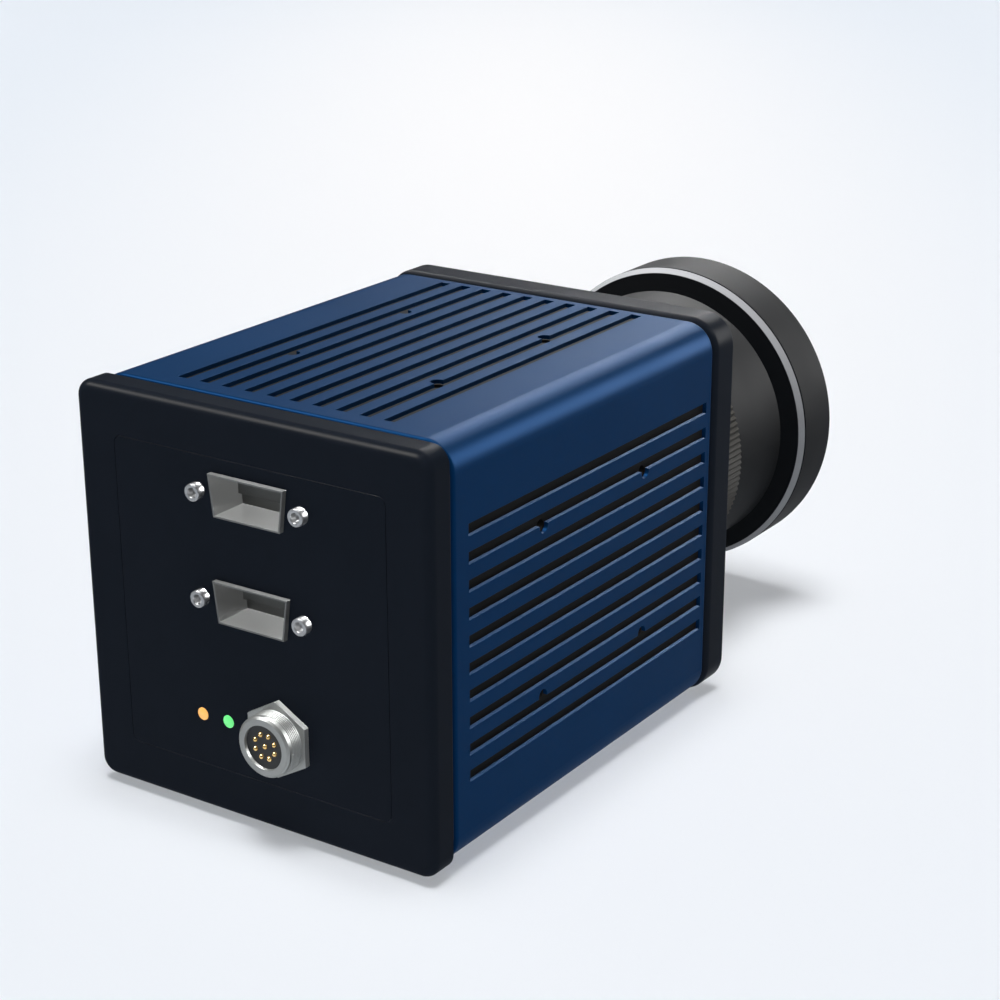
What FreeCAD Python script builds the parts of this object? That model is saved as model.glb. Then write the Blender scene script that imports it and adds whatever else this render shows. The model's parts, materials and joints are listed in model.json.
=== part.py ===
import FreeCAD, Part
import math
import os
from FreeCAD import Vector

# Gas leak imaging camera: a slotted sleeve over a sealed chassis, a cooled detector and a focusing lens.
# Millimetres. X is to the right seen from behind, Y runs forward along the lens, Z is up.
# The origin is the mouth of the tripod thread, on the plane that the camera stands on.

# Sleeve
BODY_SIDE = 96.0
BODY_CORNER = 7.0
SLEEVE_LENGTH = 108.0
SLEEVE_WALL = 1.0
SLEEVE_RIM = 0.9 * SLEEVE_WALL
SLOT_COUNT = 10
SLOT_PITCH = 6.25
SLOT_WIDTH = 2.8
SLOT_FRONT_MARGIN = 2.75
SLOT_REAR_MARGIN = 5.25

# Threaded points behind the sleeve, four on each face
POINT_SPACING_ACROSS = 40.4
POINT_SPACING_ALONG = 43.0
POINT_ACCESS_D = 3.3
POINT_THREAD_D = 2.6

# Chassis
CHASSIS_GAP = 0.05
CHASSIS_WALL = 3.95

# Front screws and the tie rods that they pull on
SCREW_D = 4.0
SCREW_HEAD_D = 7.0
SCREW_HEAD = 4.0
SCREW_SOCKET = 3.0
SCREW_SOCKET_DEPTH = 2.0
SCREW_SINK = 0.4
SCREW_BITE = 9.0
SCREW_RUNOUT = 3.0
ROD_WALL = 1.0
ROD_WALL_GAP = 1.5
STUD_STEP = 1.0
STUD_COVER = 0.5

# Bezels, gasket and rear panel
FRONT_PROUD = 0.67
FRONT_THICKNESS = 8.9
FRONT_CORNER = 7.75
FRONT_EDGE = 0.5
REAR_THICKNESS = 7.0
REAR_CORNER = 4.0
BEZEL_EDGE = 1.75
REAR_EDGE = 2.1
BEZEL_BORDER = 11.0
GASKET_THICKNESS = 1.2
GASKET_INSET = 0.8
PANEL_CORNER = 2.0
PANEL_THICKNESS = 3.0
PANEL_LEDGE = 2.0
PANEL_GAP = 0.15

# Base plate, its screws and the tripod thread
BASE_PROUD = 1.5
BASE_FLOOR = 1.5
BASE_SIDE_MARGIN = 7.8
BASE_END_MARGIN = 24.5
BASE_CORNER = 6.0
THREAD_D = 6.35
BASE_SCREW_D = 3.0
BASE_SCREW_HEAD_D = 5.5
BASE_SCREW_HEAD = 2.0
BASE_SCREW_SOCKET = 2.0
BASE_SCREW_SOCKET_DEPTH = 1.2
BASE_SCREW_SINK = 0.5

# Lens mount, from its clear opening outwards and from its seat in the front bezel forwards
MOUNT_STOP_D = 44.0
MOUNT_STOP = 8.0
REAR_SEAT = 2.0
GUIDE_WALL = 3.0
GUIDE_INSET = 1.6
BEARING_STEP = 3.0
BEARING_LENGTH = 6.0
PORT_WALL = 5.0
FLANGE_STEP = 5.2
FLANGE_THICKNESS = 4.0
FLANGE_SINK = 1.7
MOUNT_SCREW_COUNT = 6
MOUNT_SCREW_D = 2.5
MOUNT_SCREW_HEAD_D = 4.2
MOUNT_SCREW_HEAD = 1.6
MOUNT_SCREW_BITE = 3.6
KEY_D = 3.0
KEY_BITE = 2.0
KEY_FROM_END = 4.0
RETAINER_THICKNESS = 2.0

# Focus ring
RING_WALL = 3.9
RING_LENGTH = 27.8
RING_TEETH = 150
RING_TOOTH = 0.45
RING_PLAIN_REAR = 3.0

# Lens tube, front cell and bright trim ring
HELICOID_STEP = 2.0
TUBE_STEP = 3.55
TUBE_LENGTH = 22.8
TUBE_WALL = 4.8
SPIGOT_WALL = 3.0
SPIGOT_LENGTH = 4.0
FOCUS_TRAVEL = 6.0
FLARE = 5.95
BARREL_LENGTH = 14.55
BARREL_WALL = 3.5
BARREL_CHAMFER = 0.3
BACK_CONE = 1.45
TRIM_INSET = 1.25
TRIM_EDGE = 0.05
TRIM_WIDTH = 1.4
TRIM_WALL = 0.8
GROOVE_WIDTH = 0.6
GROOVE_DEPTH = 0.8

# Optics
OPTIC_SEAT = 2.5
FRONT_OPTIC_RIM = 4.0
FRONT_OPTIC_SAG = 3.0
FRONT_OPTIC_SINK = 3.5
MIDDLE_OPTIC_RIM = 4.0
MIDDLE_OPTIC_SAG = 2.5
MIDDLE_OPTIC_DEPTH = 15.2
REAR_OPTIC_RIM = 3.5
REAR_OPTIC_SAG = 1.5
RETAINING_RING = 2.0
SPANNER_WIDTH = 2.0
SPANNER_DEPTH = 1.0

# Detector and cooler
DEWAR_D = 34.0
DEWAR_LENGTH = 22.0
DEWAR_FLANGE_STEP = 5.0
DEWAR_FLANGE = 4.0
DEWAR_GAP = 6.0
NECK_D = 16.0
WINDOW_D = 22.0
WINDOW_THICKNESS = 1.5
CRANKCASE_WIDTH = 36.0
CRANKCASE_HEIGHT = 34.0
CRANKCASE_LENGTH = 27.0
CRANKCASE_CORNER = 5.0
COOLER_GAP = 4.0
MOTOR_D = 22.0
MOTOR_LENGTH = 16.0
BRACKET_SHEET = 2.0
BRACKET_SIDE_HEIGHT = 14.0
BRACKET_SIDE_MARGIN = 4.0
BRACKET_END_MARGIN = 11.0

# Boards and standoffs
BOARD_THICKNESS = 1.6
BOARD_MARGIN = 2.0
BOARD_SPACING = 8.0
STANDOFF_D = 5.0
STANDOFF_INSET = 4.0
DETECTOR_BOARD_MARGIN = 7.0
CHIP_SIDE = 20.0
CHIP_THICKNESS = 2.0
POWER_BOARD_LENGTH = 60.0
POWER_BOARD_GAP = 5.5
POWER_STANDOFF = 3.0

# Video sockets, under the upper edge of the panel's opening
VIDEO_X = 0.9
VIDEO_MARGIN = 0.6
VIDEO_SPACING = 24.6
SHELL_WIDTH = 20.6
SHELL_TAPER = 1.2
SHELL_HEIGHT = 9.6
SHELL_WALL = 0.4
SHELL_PROUD = 1.2
SHELL_DEPTH = 10.0
SHELL_FLOOR = 0.6
SHELL_FLANGE = 0.8
SHELL_FLANGE_RISE = 0.9
SHELL_FLANGE_END = 3.0
TONGUE_SIDE_GAP = 1.3
TONGUE_HEIGHT = 2.3
TONGUE_BACK = 7.0
VIDEO_BLOCK_LENGTH = 5.4
POST_GAP = 1.8
POST_D = 4.0
POST_PROUD = 2.2
POST_BORE_D = 2.2
POST_BORE_DEPTH = 1.8
POST_SHANK_D = 2.8
POST_TAIL = 1.2

# Lamps and power socket, in one row above the lower edge of the panel's opening
ROW_GAP = 1.2
GREEN_X = -7.8
LAMP_PITCH = 7.4
LAMP_D = 3.0
LAMP_PROUD = 0.5
LAMP_FLANGE_STEP = 0.5
LAMP_FLANGE = 1.0
SOCKET_X = 7.0
SOCKET_BORE_D = 10.4
SOCKET_SHANK_WALL = 0.8
SOCKET_SHANK = 8.0
SOCKET_STEP = 1.1
SOCKET_PROUD = 6.0
SOCKET_CHAMFER = 0.5
SOCKET_HEX_STEP = 0.8
SOCKET_HEX_THICKNESS = 1.4
SOCKET_RECESS = 0.8
SOCKET_NUT = 2.5
PIN_D = 1.2
PIN_PROUD = 0.6
PIN_TAIL = 1.0
PIN_CIRCLE_D = 5.7
PIN_COUNT = 8

# Clearances
FIT = 0.05
RUNNING = 0.05
CLEAR = 0.3

# Derived sizes and places of the body
FRONT_SIDE = BODY_SIDE + 2 * FRONT_PROUD
AXIS_Z = BODY_SIDE / 2 + BASE_PROUD
SLOT_LENGTH = SLEEVE_LENGTH - SLOT_FRONT_MARGIN - SLOT_REAR_MARGIN
SLEEVE_FRONT_Y = SLOT_LENGTH / 2 + SLOT_FRONT_MARGIN
SLEEVE_REAR_Y = SLEEVE_FRONT_Y - SLEEVE_LENGTH
BEZEL_INNER_Y = SLEEVE_REAR_Y - GASKET_THICKNESS
REAR_Y = BEZEL_INNER_Y - REAR_THICKNESS
FACE_Y = SLEEVE_FRONT_Y + FRONT_THICKNESS
CHASSIS_SIDE = BODY_SIDE - 2 * (SLEEVE_WALL + CHASSIS_GAP)
CHASSIS_CORNER = BODY_CORNER - SLEEVE_WALL - CHASSIS_GAP
CHASSIS_BORE = CHASSIS_SIDE - 2 * CHASSIS_WALL
CHASSIS_BORE_CORNER = CHASSIS_CORNER - CHASSIS_WALL
CHASSIS_FLOOR_Z = AXIS_Z - CHASSIS_BORE / 2
ROD_D = SCREW_D + 2 * ROD_WALL
ROD_OFFSET = CHASSIS_BORE / 2 - ROD_WALL_GAP - ROD_D / 2
STUD_D = ROD_D - 2 * STUD_STEP
STUD_LENGTH = REAR_THICKNESS - PANEL_THICKNESS - STUD_COVER
PANEL_SIDE = BODY_SIDE - 2 * BEZEL_BORDER
PANEL_OPENING = PANEL_SIDE - 2 * PANEL_LEDGE
PANEL_INNER_Y = REAR_Y + PANEL_THICKNESS
BASE_TOP_Z = CHASSIS_FLOOR_Z - BASE_FLOOR
BASE_SEAT_Z = BASE_SCREW_SINK + BASE_SCREW_HEAD

# Derived sizes and places of the lens
MOUNT_BORE_D = MOUNT_STOP_D + 2 * REAR_SEAT
PORT_D = MOUNT_BORE_D + 2 * PORT_WALL
GUIDE_D = MOUNT_BORE_D + 2 * GUIDE_WALL
BEARING_D = GUIDE_D + 2 * BEARING_STEP
FLANGE_D = BEARING_D + 2 * FLANGE_STEP
HELICOID_D = BEARING_D + 2 * HELICOID_STEP
RING_BORE_D = HELICOID_D + 2 * CLEAR
RING_D = RING_BORE_D + 2 * RING_WALL
TUBE_D = HELICOID_D + 2 * TUBE_STEP
TUBE_BORE_D = TUBE_D - 2 * TUBE_WALL
SPIGOT_D = TUBE_BORE_D + 2 * SPIGOT_WALL
BARREL_D = TUBE_D + 2 * FLARE
TRIM_SMALL_D = BARREL_D - 2 * TRIM_INSET
TRIM_LARGE_D = BARREL_D - 2 * TRIM_EDGE
TRIM_BORE_D = TRIM_SMALL_D - 2 * TRIM_WALL
FRONT_OPTIC_D = BARREL_D - 2 * BARREL_WALL
MIDDLE_OPTIC_D = TUBE_BORE_D - 2 * FIT
REAR_OPTIC_D = MOUNT_BORE_D - 2 * FIT
FLANGE_SEAT_Y = FACE_Y - FLANGE_SINK
FLANGE_Y = FLANGE_SEAT_Y + FLANGE_THICKNESS
BEARING_Y = FLANGE_Y + BEARING_LENGTH
RETAINER_Y = BEARING_Y + RETAINER_THICKNESS
RING_REAR_Y = FLANGE_Y + CLEAR
RING_FRONT_Y = RING_REAR_Y + RING_LENGTH
GUIDE_Y = RING_FRONT_Y - GUIDE_INSET
KEY_Y = GUIDE_Y - KEY_FROM_END
TUBE_REAR_Y = RETAINER_Y + CLEAR
TUBE_STOP_Y = GUIDE_Y + CLEAR
TUBE_SHOULDER_Y = RING_FRONT_Y + CLEAR
CELL_REAR_Y = TUBE_SHOULDER_Y + TUBE_LENGTH
SPIGOT_Y = CELL_REAR_Y + SPIGOT_LENGTH
TRIM_Y = CELL_REAR_Y + BACK_CONE
GROOVE_Y = TRIM_Y + TRIM_WIDTH
BARREL_Y = GROOVE_Y + GROOVE_WIDTH
LENS_FRONT_Y = BARREL_Y + BARREL_LENGTH
FRONT_RIM_Y = LENS_FRONT_Y - FRONT_OPTIC_SINK - RETAINING_RING
FRONT_SEAT_Y = FRONT_RIM_Y - FRONT_OPTIC_RIM
MIDDLE_SEAT_Y = SPIGOT_Y - MIDDLE_OPTIC_DEPTH
MIDDLE_RIM_Y = MIDDLE_SEAT_Y + MIDDLE_OPTIC_RIM
REAR_SEAT_Y = SLEEVE_FRONT_Y + MOUNT_STOP
REAR_RIM_Y = REAR_SEAT_Y + REAR_OPTIC_RIM

# Derived sizes and places of the rear panel's sockets
SHELL_FLANGE_HEIGHT = SHELL_HEIGHT + 2 * SHELL_FLANGE_RISE
SHELL_FRONT_Y = REAR_Y - SHELL_PROUD
SHELL_BACK_Y = SHELL_FRONT_Y + SHELL_DEPTH
SHELL_FLOOR_Y = SHELL_BACK_Y - SHELL_FLOOR
SHELL_FLANGE_Y = PANEL_INNER_Y + SHELL_FLANGE
VIDEO_UPPER_Z = PANEL_OPENING / 2 - VIDEO_MARGIN - SHELL_FLANGE_HEIGHT / 2
VIDEO_LOWER_Z = VIDEO_UPPER_Z - VIDEO_SPACING
POST_REACH = SHELL_WIDTH / 2 + POST_GAP + POST_D / 2
SOCKET_SHANK_D = SOCKET_BORE_D + 2 * SOCKET_SHANK_WALL
SOCKET_D = SOCKET_SHANK_D + 2 * SOCKET_STEP
SOCKET_HEX = SOCKET_D + 2 * SOCKET_HEX_STEP
SOCKET_FRONT_Y = REAR_Y - SOCKET_PROUD
SOCKET_HEX_Y = REAR_Y - SOCKET_HEX_THICKNESS
SHANK_END_Y = PANEL_INNER_Y + SOCKET_SHANK
INSERT_FRONT_Y = SOCKET_FRONT_Y + SOCKET_RECESS
ROW_Z = ROW_GAP + SOCKET_HEX / math.sqrt(3) - PANEL_OPENING / 2
AMBER_X = GREEN_X - LAMP_PITCH

# Derived sizes and places of the boards, the detector and the cooler
BOARD_SIDE = PANEL_OPENING - 2 * BOARD_MARGIN
INTERFACE_Y = SHELL_BACK_Y + VIDEO_BLOCK_LENGTH
INTERFACE_FRONT_Y = INTERFACE_Y + BOARD_THICKNESS
PROCESSOR_Y = INTERFACE_FRONT_Y + BOARD_SPACING
CHIP_Y = PROCESSOR_Y + BOARD_THICKNESS
POWER_BOARD_HEIGHT = 2 * (ROD_OFFSET - ROD_D / 2 - POWER_BOARD_GAP)
CRANKCASE_REAR_Y = CHIP_Y + CHIP_THICKNESS + COOLER_GAP
CRANKCASE_FRONT_Y = CRANKCASE_REAR_Y + CRANKCASE_LENGTH
DEWAR_FLANGE_D = DEWAR_D + 2 * DEWAR_FLANGE_STEP
DEWAR_FRONT_Y = SLEEVE_FRONT_Y - DEWAR_GAP - WINDOW_THICKNESS
DEWAR_FLANGE_Y = DEWAR_FRONT_Y - DEWAR_LENGTH
NECK_Y = DEWAR_FLANGE_Y - DEWAR_FLANGE
DETECTOR_BOARD_SIDE = DEWAR_FLANGE_D + 2 * DETECTOR_BOARD_MARGIN
BRACKET_TOP_Z = CHASSIS_FLOOR_Z + BRACKET_SHEET


def rod(diameter, y0, y1, x=0.0, up=0.0):
    """Round bar along Y, placed from the optical axis."""
    return Part.makeCylinder(diameter / 2, y1 - y0, Vector(x, y0, AXIS_Z + up), Vector(0, 1, 0))


def post(diameter, z0, z1, x, y):
    """Upright round bar."""
    return Part.makeCylinder(diameter / 2, z1 - z0, Vector(x, y, z0))


def block(x0, x1, y0, y1, z0, z1):
    """Box between two corners."""
    return Part.makeBox(x1 - x0, y1 - y0, z1 - z0, Vector(x0, y0, z0))


def round_along(shape, direction, radius):
    """Round the straight edges that run along a direction."""
    edges = [e for e in shape.Edges if abs(e.tangentAt(e.FirstParameter).dot(direction)) > 0.999]
    return shape.makeFillet(radius, edges)


def round_end(shape, y, radius):
    """Round the edges that lie in the plane at y."""
    return shape.makeFillet(radius, [e for e in shape.Edges if abs(e.CenterOfMass.y - y) < 1e-6])


def square_bar(side, radius, y0, y1):
    """Square bar along the optical axis, with rounded long edges."""
    half = side / 2
    bar = block(-half, half, y0, y1, AXIS_Z - half, AXIS_Z + half)
    return round_along(bar, Vector(0, 1, 0), radius)


def turned(profile, x=0.0, up=0.0):
    """Turned piece about a line along Y, from (diameter, y) points of its half section."""
    wire = Part.makePolygon([Vector(d / 2, y, 0) for d, y in profile + profile[:1]])
    solid = Part.Face(wire).revolve(Vector(0, 0, 0), Vector(0, 1, 0), 360)
    solid.translate(Vector(x, 0, AXIS_Z + up))
    return solid


def hex_bar(across_flats, start, along):
    """Hexagonal bar from a point along a vector square to X, with upright flats at its two sides."""
    rise = along.cross(Vector(1, 0, 0)).normalize()
    reach = across_flats / math.sqrt(3)
    turns = [math.pi / 2 + math.pi / 3 * i for i in range(7)]
    points = [start + Vector(reach * math.cos(t), 0, 0) + rise * (reach * math.sin(t)) for t in turns]
    return Part.Face(Part.makePolygon(points)).extrude(along)


def four_corners(across, along):
    """The four corners of a rectangle about zero."""
    return [(sx * across / 2, sy * along / 2) for sx in (-1, 1) for sy in (-1, 1)]


def circle_places(diameter, count):
    """Places spread round a circle about zero, half a step off the horizontal."""
    turns = [2 * math.pi * (i + 0.5) / count for i in range(count)]
    return [(diameter / 2 * math.cos(t), diameter / 2 * math.sin(t)) for t in turns]


def domed(diameter, y_seat, y_rim, y_tip, x=0.0, up=0.0):
    """Round piece with a flat seat, a straight rim and a spherical face."""
    radius = diameter / 2
    sag = y_tip - y_rim
    ball = (radius ** 2 + sag ** 2) / (2 * sag)
    half_turn = math.atan2(radius, abs(ball) - abs(sag)) / 2
    middle = Vector(abs(ball) * math.sin(half_turn), y_tip - ball + ball * math.cos(half_turn), 0)
    rim = Vector(radius, y_rim, 0)
    tip = Vector(0, y_tip, 0)
    lines = Part.makePolygon([tip, Vector(0, y_seat, 0), Vector(radius, y_seat, 0), rim])
    wire = Part.Wire(lines.Edges + [Part.Arc(rim, middle, tip).toShape()])
    solid = Part.Face(wire).revolve(Vector(0, 0, 0), Vector(0, 1, 0), 360)
    solid.translate(Vector(x, 0, AXIS_Z + up))
    return solid


def face_holes(diameter):
    """Drills through the top and both sides at the threaded points."""
    reach = BODY_SIDE / 2
    drills = []
    for across, along in four_corners(POINT_SPACING_ACROSS, POINT_SPACING_ALONG):
        drills.append(post(diameter, AXIS_Z, AXIS_Z + reach, across, along))
        start = Vector(-reach, along, AXIS_Z + across)
        drills.append(Part.makeCylinder(diameter / 2, 2 * reach, start, Vector(1, 0, 0)))
    return drills


def slot_cutters():
    """Slots through the top and both sides, as bars that only reach through the sleeve's wall."""
    half = BODY_SIDE / 2
    inner = half - SLEEVE_WALL - CHASSIS_GAP / 2
    end = SLOT_LENGTH / 2
    cutters = []
    for i in range(SLOT_COUNT):
        low = (i - (SLOT_COUNT - 1) / 2) * SLOT_PITCH - SLOT_WIDTH / 2
        high = low + SLOT_WIDTH
        cutters.append(block(low, high, -end, end, AXIS_Z + inner, AXIS_Z + half))
        cutters.append(block(inner, half, -end, end, AXIS_Z + low, AXIS_Z + high))
        cutters.append(block(-half, -inner, -end, end, AXIS_Z + low, AXIS_Z + high))
    return cutters


def base_screw_places():
    return four_corners(POINT_SPACING_ACROSS, POINT_SPACING_ALONG)


def base_outline(margin):
    """Rounded rectangle of the base plate, grown by a margin."""
    wide = POINT_SPACING_ACROSS / 2 + BASE_SIDE_MARGIN + margin
    long = POINT_SPACING_ALONG / 2 + BASE_END_MARGIN + margin
    plate = block(-wide, wide, -long, long, 0, BASE_TOP_Z)
    return round_along(plate, Vector(0, 0, 1), BASE_CORNER + margin)


def sleeve():
    outer = square_bar(BODY_SIDE, BODY_CORNER, SLEEVE_REAR_Y, SLEEVE_FRONT_Y)
    for y in (SLEEVE_REAR_Y, SLEEVE_FRONT_Y):
        outer = round_end(outer, y, SLEEVE_RIM)
    bore = square_bar(BODY_SIDE - 2 * SLEEVE_WALL, BODY_CORNER - SLEEVE_WALL, SLEEVE_REAR_Y, SLEEVE_FRONT_Y)
    return outer.cut([bore, base_outline(CLEAR)] + slot_cutters() + face_holes(POINT_ACCESS_D))


def chassis():
    """Sealed inner tube, with the threaded points in its wall, and a pocket and holes for the base plate."""
    outer = square_bar(CHASSIS_SIDE, CHASSIS_CORNER, SLEEVE_REAR_Y, SLEEVE_FRONT_Y)
    bore = square_bar(CHASSIS_BORE, CHASSIS_BORE_CORNER, SLEEVE_REAR_Y, SLEEVE_FRONT_Y)
    floor_holes = [post(BASE_SCREW_D + 2 * CLEAR, BASE_TOP_Z, CHASSIS_FLOOR_Z, x, y)
                   for x, y in base_screw_places()]
    return outer.cut([bore, base_outline(CLEAR)] + floor_holes + face_holes(POINT_THREAD_D))


def rod_places():
    return four_corners(2 * ROD_OFFSET, 2 * ROD_OFFSET)


def tie_rods():
    """Rods in the chassis corners, with a stud in the rear bezel and a thread for a front screw."""
    bore_y = SLEEVE_FRONT_Y - SCREW_BITE - SCREW_RUNOUT
    rods = []
    for x, up in rod_places():
        body = rod(ROD_D, BEZEL_INNER_Y, SLEEVE_FRONT_Y, x, up)
        stud = rod(STUD_D, BEZEL_INNER_Y - STUD_LENGTH, BEZEL_INNER_Y, x, up)
        rods.append(body.fuse(stud).cut(rod(SCREW_D + 2 * FIT, bore_y, SLEEVE_FRONT_Y, x, up)))
    return rods


def front_screws():
    head_y = FACE_Y - SCREW_SINK
    neck_y = head_y - SCREW_HEAD
    screws = []
    for x, up in rod_places():
        head = rod(SCREW_HEAD_D, neck_y, head_y, x, up)
        shank = rod(SCREW_D, SLEEVE_FRONT_Y - SCREW_BITE, neck_y, x, up)
        socket = hex_bar(SCREW_SOCKET, Vector(x, head_y, AXIS_Z + up), Vector(0, -SCREW_SOCKET_DEPTH, 0))
        screws.append(head.fuse(shank).cut(socket))
    return screws


def front_bezel():
    bezel = square_bar(FRONT_SIDE, FRONT_CORNER, SLEEVE_FRONT_Y, FACE_Y)
    bezel = round_end(bezel, SLEEVE_FRONT_Y, BEZEL_EDGE)
    bezel = round_end(bezel, FACE_Y, FRONT_EDGE)
    cuts = [rod(PORT_D, SLEEVE_FRONT_Y, FACE_Y), rod(FLANGE_D + 2 * FIT, FLANGE_SEAT_Y, FACE_Y)]
    for x, up in rod_places():
        cuts.append(rod(SCREW_D + 2 * CLEAR, SLEEVE_FRONT_Y, FACE_Y, x, up))
        cuts.append(rod(SCREW_HEAD_D + 2 * CLEAR, FACE_Y - SCREW_SINK - SCREW_HEAD, FACE_Y, x, up))
    for x, up in mount_screw_places():
        cuts.append(rod(MOUNT_SCREW_D + 2 * FIT, SLEEVE_FRONT_Y, FLANGE_SEAT_Y, x, up))
    return bezel.cut(cuts)


def rear_bezel():
    bezel = square_bar(BODY_SIDE, REAR_CORNER, REAR_Y, BEZEL_INNER_Y)
    bezel = round_end(bezel, REAR_Y, REAR_EDGE)
    cuts = [square_bar(PANEL_SIDE, PANEL_CORNER, REAR_Y, PANEL_INNER_Y),
            square_bar(PANEL_OPENING, PANEL_CORNER, PANEL_INNER_Y, BEZEL_INNER_Y)]
    for x, up in rod_places():
        cuts.append(rod(STUD_D + 2 * FIT, BEZEL_INNER_Y - STUD_LENGTH - FIT, BEZEL_INNER_Y, x, up))
    return bezel.cut(cuts)


def rear_gasket():
    side = BODY_SIDE - 2 * GASKET_INSET
    outside = square_bar(side, BODY_CORNER - GASKET_INSET, BEZEL_INNER_Y, SLEEVE_REAR_Y)
    return outside.cut(square_bar(CHASSIS_BORE, CHASSIS_BORE_CORNER, BEZEL_INNER_Y, SLEEVE_REAR_Y))


def d_bar(inset, y0, y1, up):
    """D-shaped bar of a video socket, wider at the top, drawn in by an inset."""
    top = SHELL_WIDTH / 2 - inset
    bottom = top - SHELL_TAPER
    half = SHELL_HEIGHT / 2 - inset
    corners = [(-top, half), (top, half), (bottom, -half), (-bottom, -half), (-top, half)]
    points = [Vector(VIDEO_X + x, y0, AXIS_Z + up + z) for x, z in corners]
    return Part.Face(Part.makePolygon(points)).extrude(Vector(0, y1 - y0, 0))


def video_block(half_width, height, y0, y1, up):
    """Box about the middle of a video socket."""
    left = VIDEO_X - half_width
    low = AXIS_Z + up - height / 2
    return block(left, left + 2 * half_width, y0, y1, low, low + height)


def tongue(margin, up):
    """Flat bar in a video socket that a plug slides over, grown by a margin."""
    half = SHELL_WIDTH / 2 - SHELL_TAPER - TONGUE_SIDE_GAP + margin
    return video_block(half, TONGUE_HEIGHT + 2 * margin, SHELL_FRONT_Y + TONGUE_BACK, SHELL_BACK_Y, up)


def post_places(up):
    return [(VIDEO_X - POST_REACH, up), (VIDEO_X + POST_REACH, up)]


def video_shell(up):
    """Metal shell through the panel, with a flange behind it that the screw posts hold."""
    half_flange = POST_REACH + SHELL_FLANGE_END
    flange = video_block(half_flange, SHELL_FLANGE_HEIGHT, PANEL_INNER_Y, SHELL_FLANGE_Y, up)
    shell = flange.fuse(d_bar(0, SHELL_FRONT_Y, SHELL_BACK_Y, up))
    cuts = [d_bar(SHELL_WALL, SHELL_FRONT_Y, SHELL_FLOOR_Y, up), tongue(FIT, up)]
    for x, post_up in post_places(up):
        cuts.append(rod(POST_SHANK_D + 2 * FIT, PANEL_INNER_Y, SHELL_FLANGE_Y, x, post_up))
    return shell.cut(cuts)


def video_insert(up):
    """Contact block behind the shell, with a tongue that reaches through its floor."""
    body = video_block(SHELL_WIDTH / 2, SHELL_FLANGE_HEIGHT, SHELL_BACK_Y, INTERFACE_Y, up)
    return body.fuse(tongue(0, up))


def jack_posts():
    face_y = REAR_Y - POST_PROUD
    posts = []
    for x, up in post_places(VIDEO_UPPER_Z) + post_places(VIDEO_LOWER_Z):
        head = rod(POST_D, face_y, REAR_Y, x, up)
        shank = rod(POST_SHANK_D, REAR_Y, SHELL_FLANGE_Y + POST_TAIL, x, up)
        posts.append(head.fuse(shank).cut(rod(POST_BORE_D, face_y, face_y + POST_BORE_DEPTH, x, up)))
    return posts


def lamp(x):
    lens = domed(LAMP_D, PANEL_INNER_Y, REAR_Y, REAR_Y - LAMP_PROUD, x, ROW_Z)
    flange_d = LAMP_D + 2 * LAMP_FLANGE_STEP
    return lens.fuse(rod(flange_d, PANEL_INNER_Y, PANEL_INNER_Y + LAMP_FLANGE, x, ROW_Z))


def socket_hex(y0, y1):
    return hex_bar(SOCKET_HEX, Vector(SOCKET_X, y0, AXIS_Z + ROW_Z), Vector(0, y1 - y0, 0))


def power_socket_shell():
    barrel = turned([(0, SOCKET_FRONT_Y), (SOCKET_D - 2 * SOCKET_CHAMFER, SOCKET_FRONT_Y),
                     (SOCKET_D, SOCKET_FRONT_Y + SOCKET_CHAMFER), (SOCKET_D, SOCKET_HEX_Y),
                     (0, SOCKET_HEX_Y)], SOCKET_X, ROW_Z)
    shank = rod(SOCKET_SHANK_D, REAR_Y, SHANK_END_Y, SOCKET_X, ROW_Z)
    solid = barrel.fuse([socket_hex(SOCKET_HEX_Y, REAR_Y), shank])
    return solid.cut(rod(SOCKET_BORE_D, SOCKET_FRONT_Y, SHANK_END_Y, SOCKET_X, ROW_Z))


def pin_places():
    ring = [(SOCKET_X + x, ROW_Z + up) for x, up in circle_places(PIN_CIRCLE_D, PIN_COUNT)]
    return ring + [(SOCKET_X, ROW_Z)]


def power_socket_insert():
    body = rod(SOCKET_BORE_D, INSERT_FRONT_Y, SHANK_END_Y, SOCKET_X, ROW_Z)
    return body.cut([rod(PIN_D, INSERT_FRONT_Y, SHANK_END_Y, x, up) for x, up in pin_places()])


def power_pins():
    """Contact pins with rounded tips, through the insert and the interface board."""
    tip_y = INSERT_FRONT_Y - PIN_PROUD
    end_y = INTERFACE_FRONT_Y + PIN_TAIL
    return [domed(PIN_D, end_y, tip_y + PIN_D / 2, tip_y, x, up) for x, up in pin_places()]


def power_socket_nut():
    nut_y = PANEL_INNER_Y + SOCKET_NUT
    return socket_hex(PANEL_INNER_Y, nut_y).cut(rod(SOCKET_SHANK_D, PANEL_INNER_Y, nut_y, SOCKET_X, ROW_Z))


def rear_panel():
    panel = square_bar(PANEL_SIDE - 2 * PANEL_GAP, PANEL_CORNER - PANEL_GAP, REAR_Y, PANEL_INNER_Y)
    cuts = [rod(SOCKET_SHANK_D + 2 * FIT, REAR_Y, PANEL_INNER_Y, SOCKET_X, ROW_Z)]
    for x in (AMBER_X, GREEN_X):
        cuts.append(rod(LAMP_D + 2 * FIT, REAR_Y, PANEL_INNER_Y, x, ROW_Z))
    for up in (VIDEO_UPPER_Z, VIDEO_LOWER_Z):
        cuts.append(d_bar(-FIT, REAR_Y, PANEL_INNER_Y, up))
        cuts += [rod(POST_SHANK_D + 2 * FIT, REAR_Y, PANEL_INNER_Y, x, z) for x, z in post_places(up)]
    return panel.cut(cuts)


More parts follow.
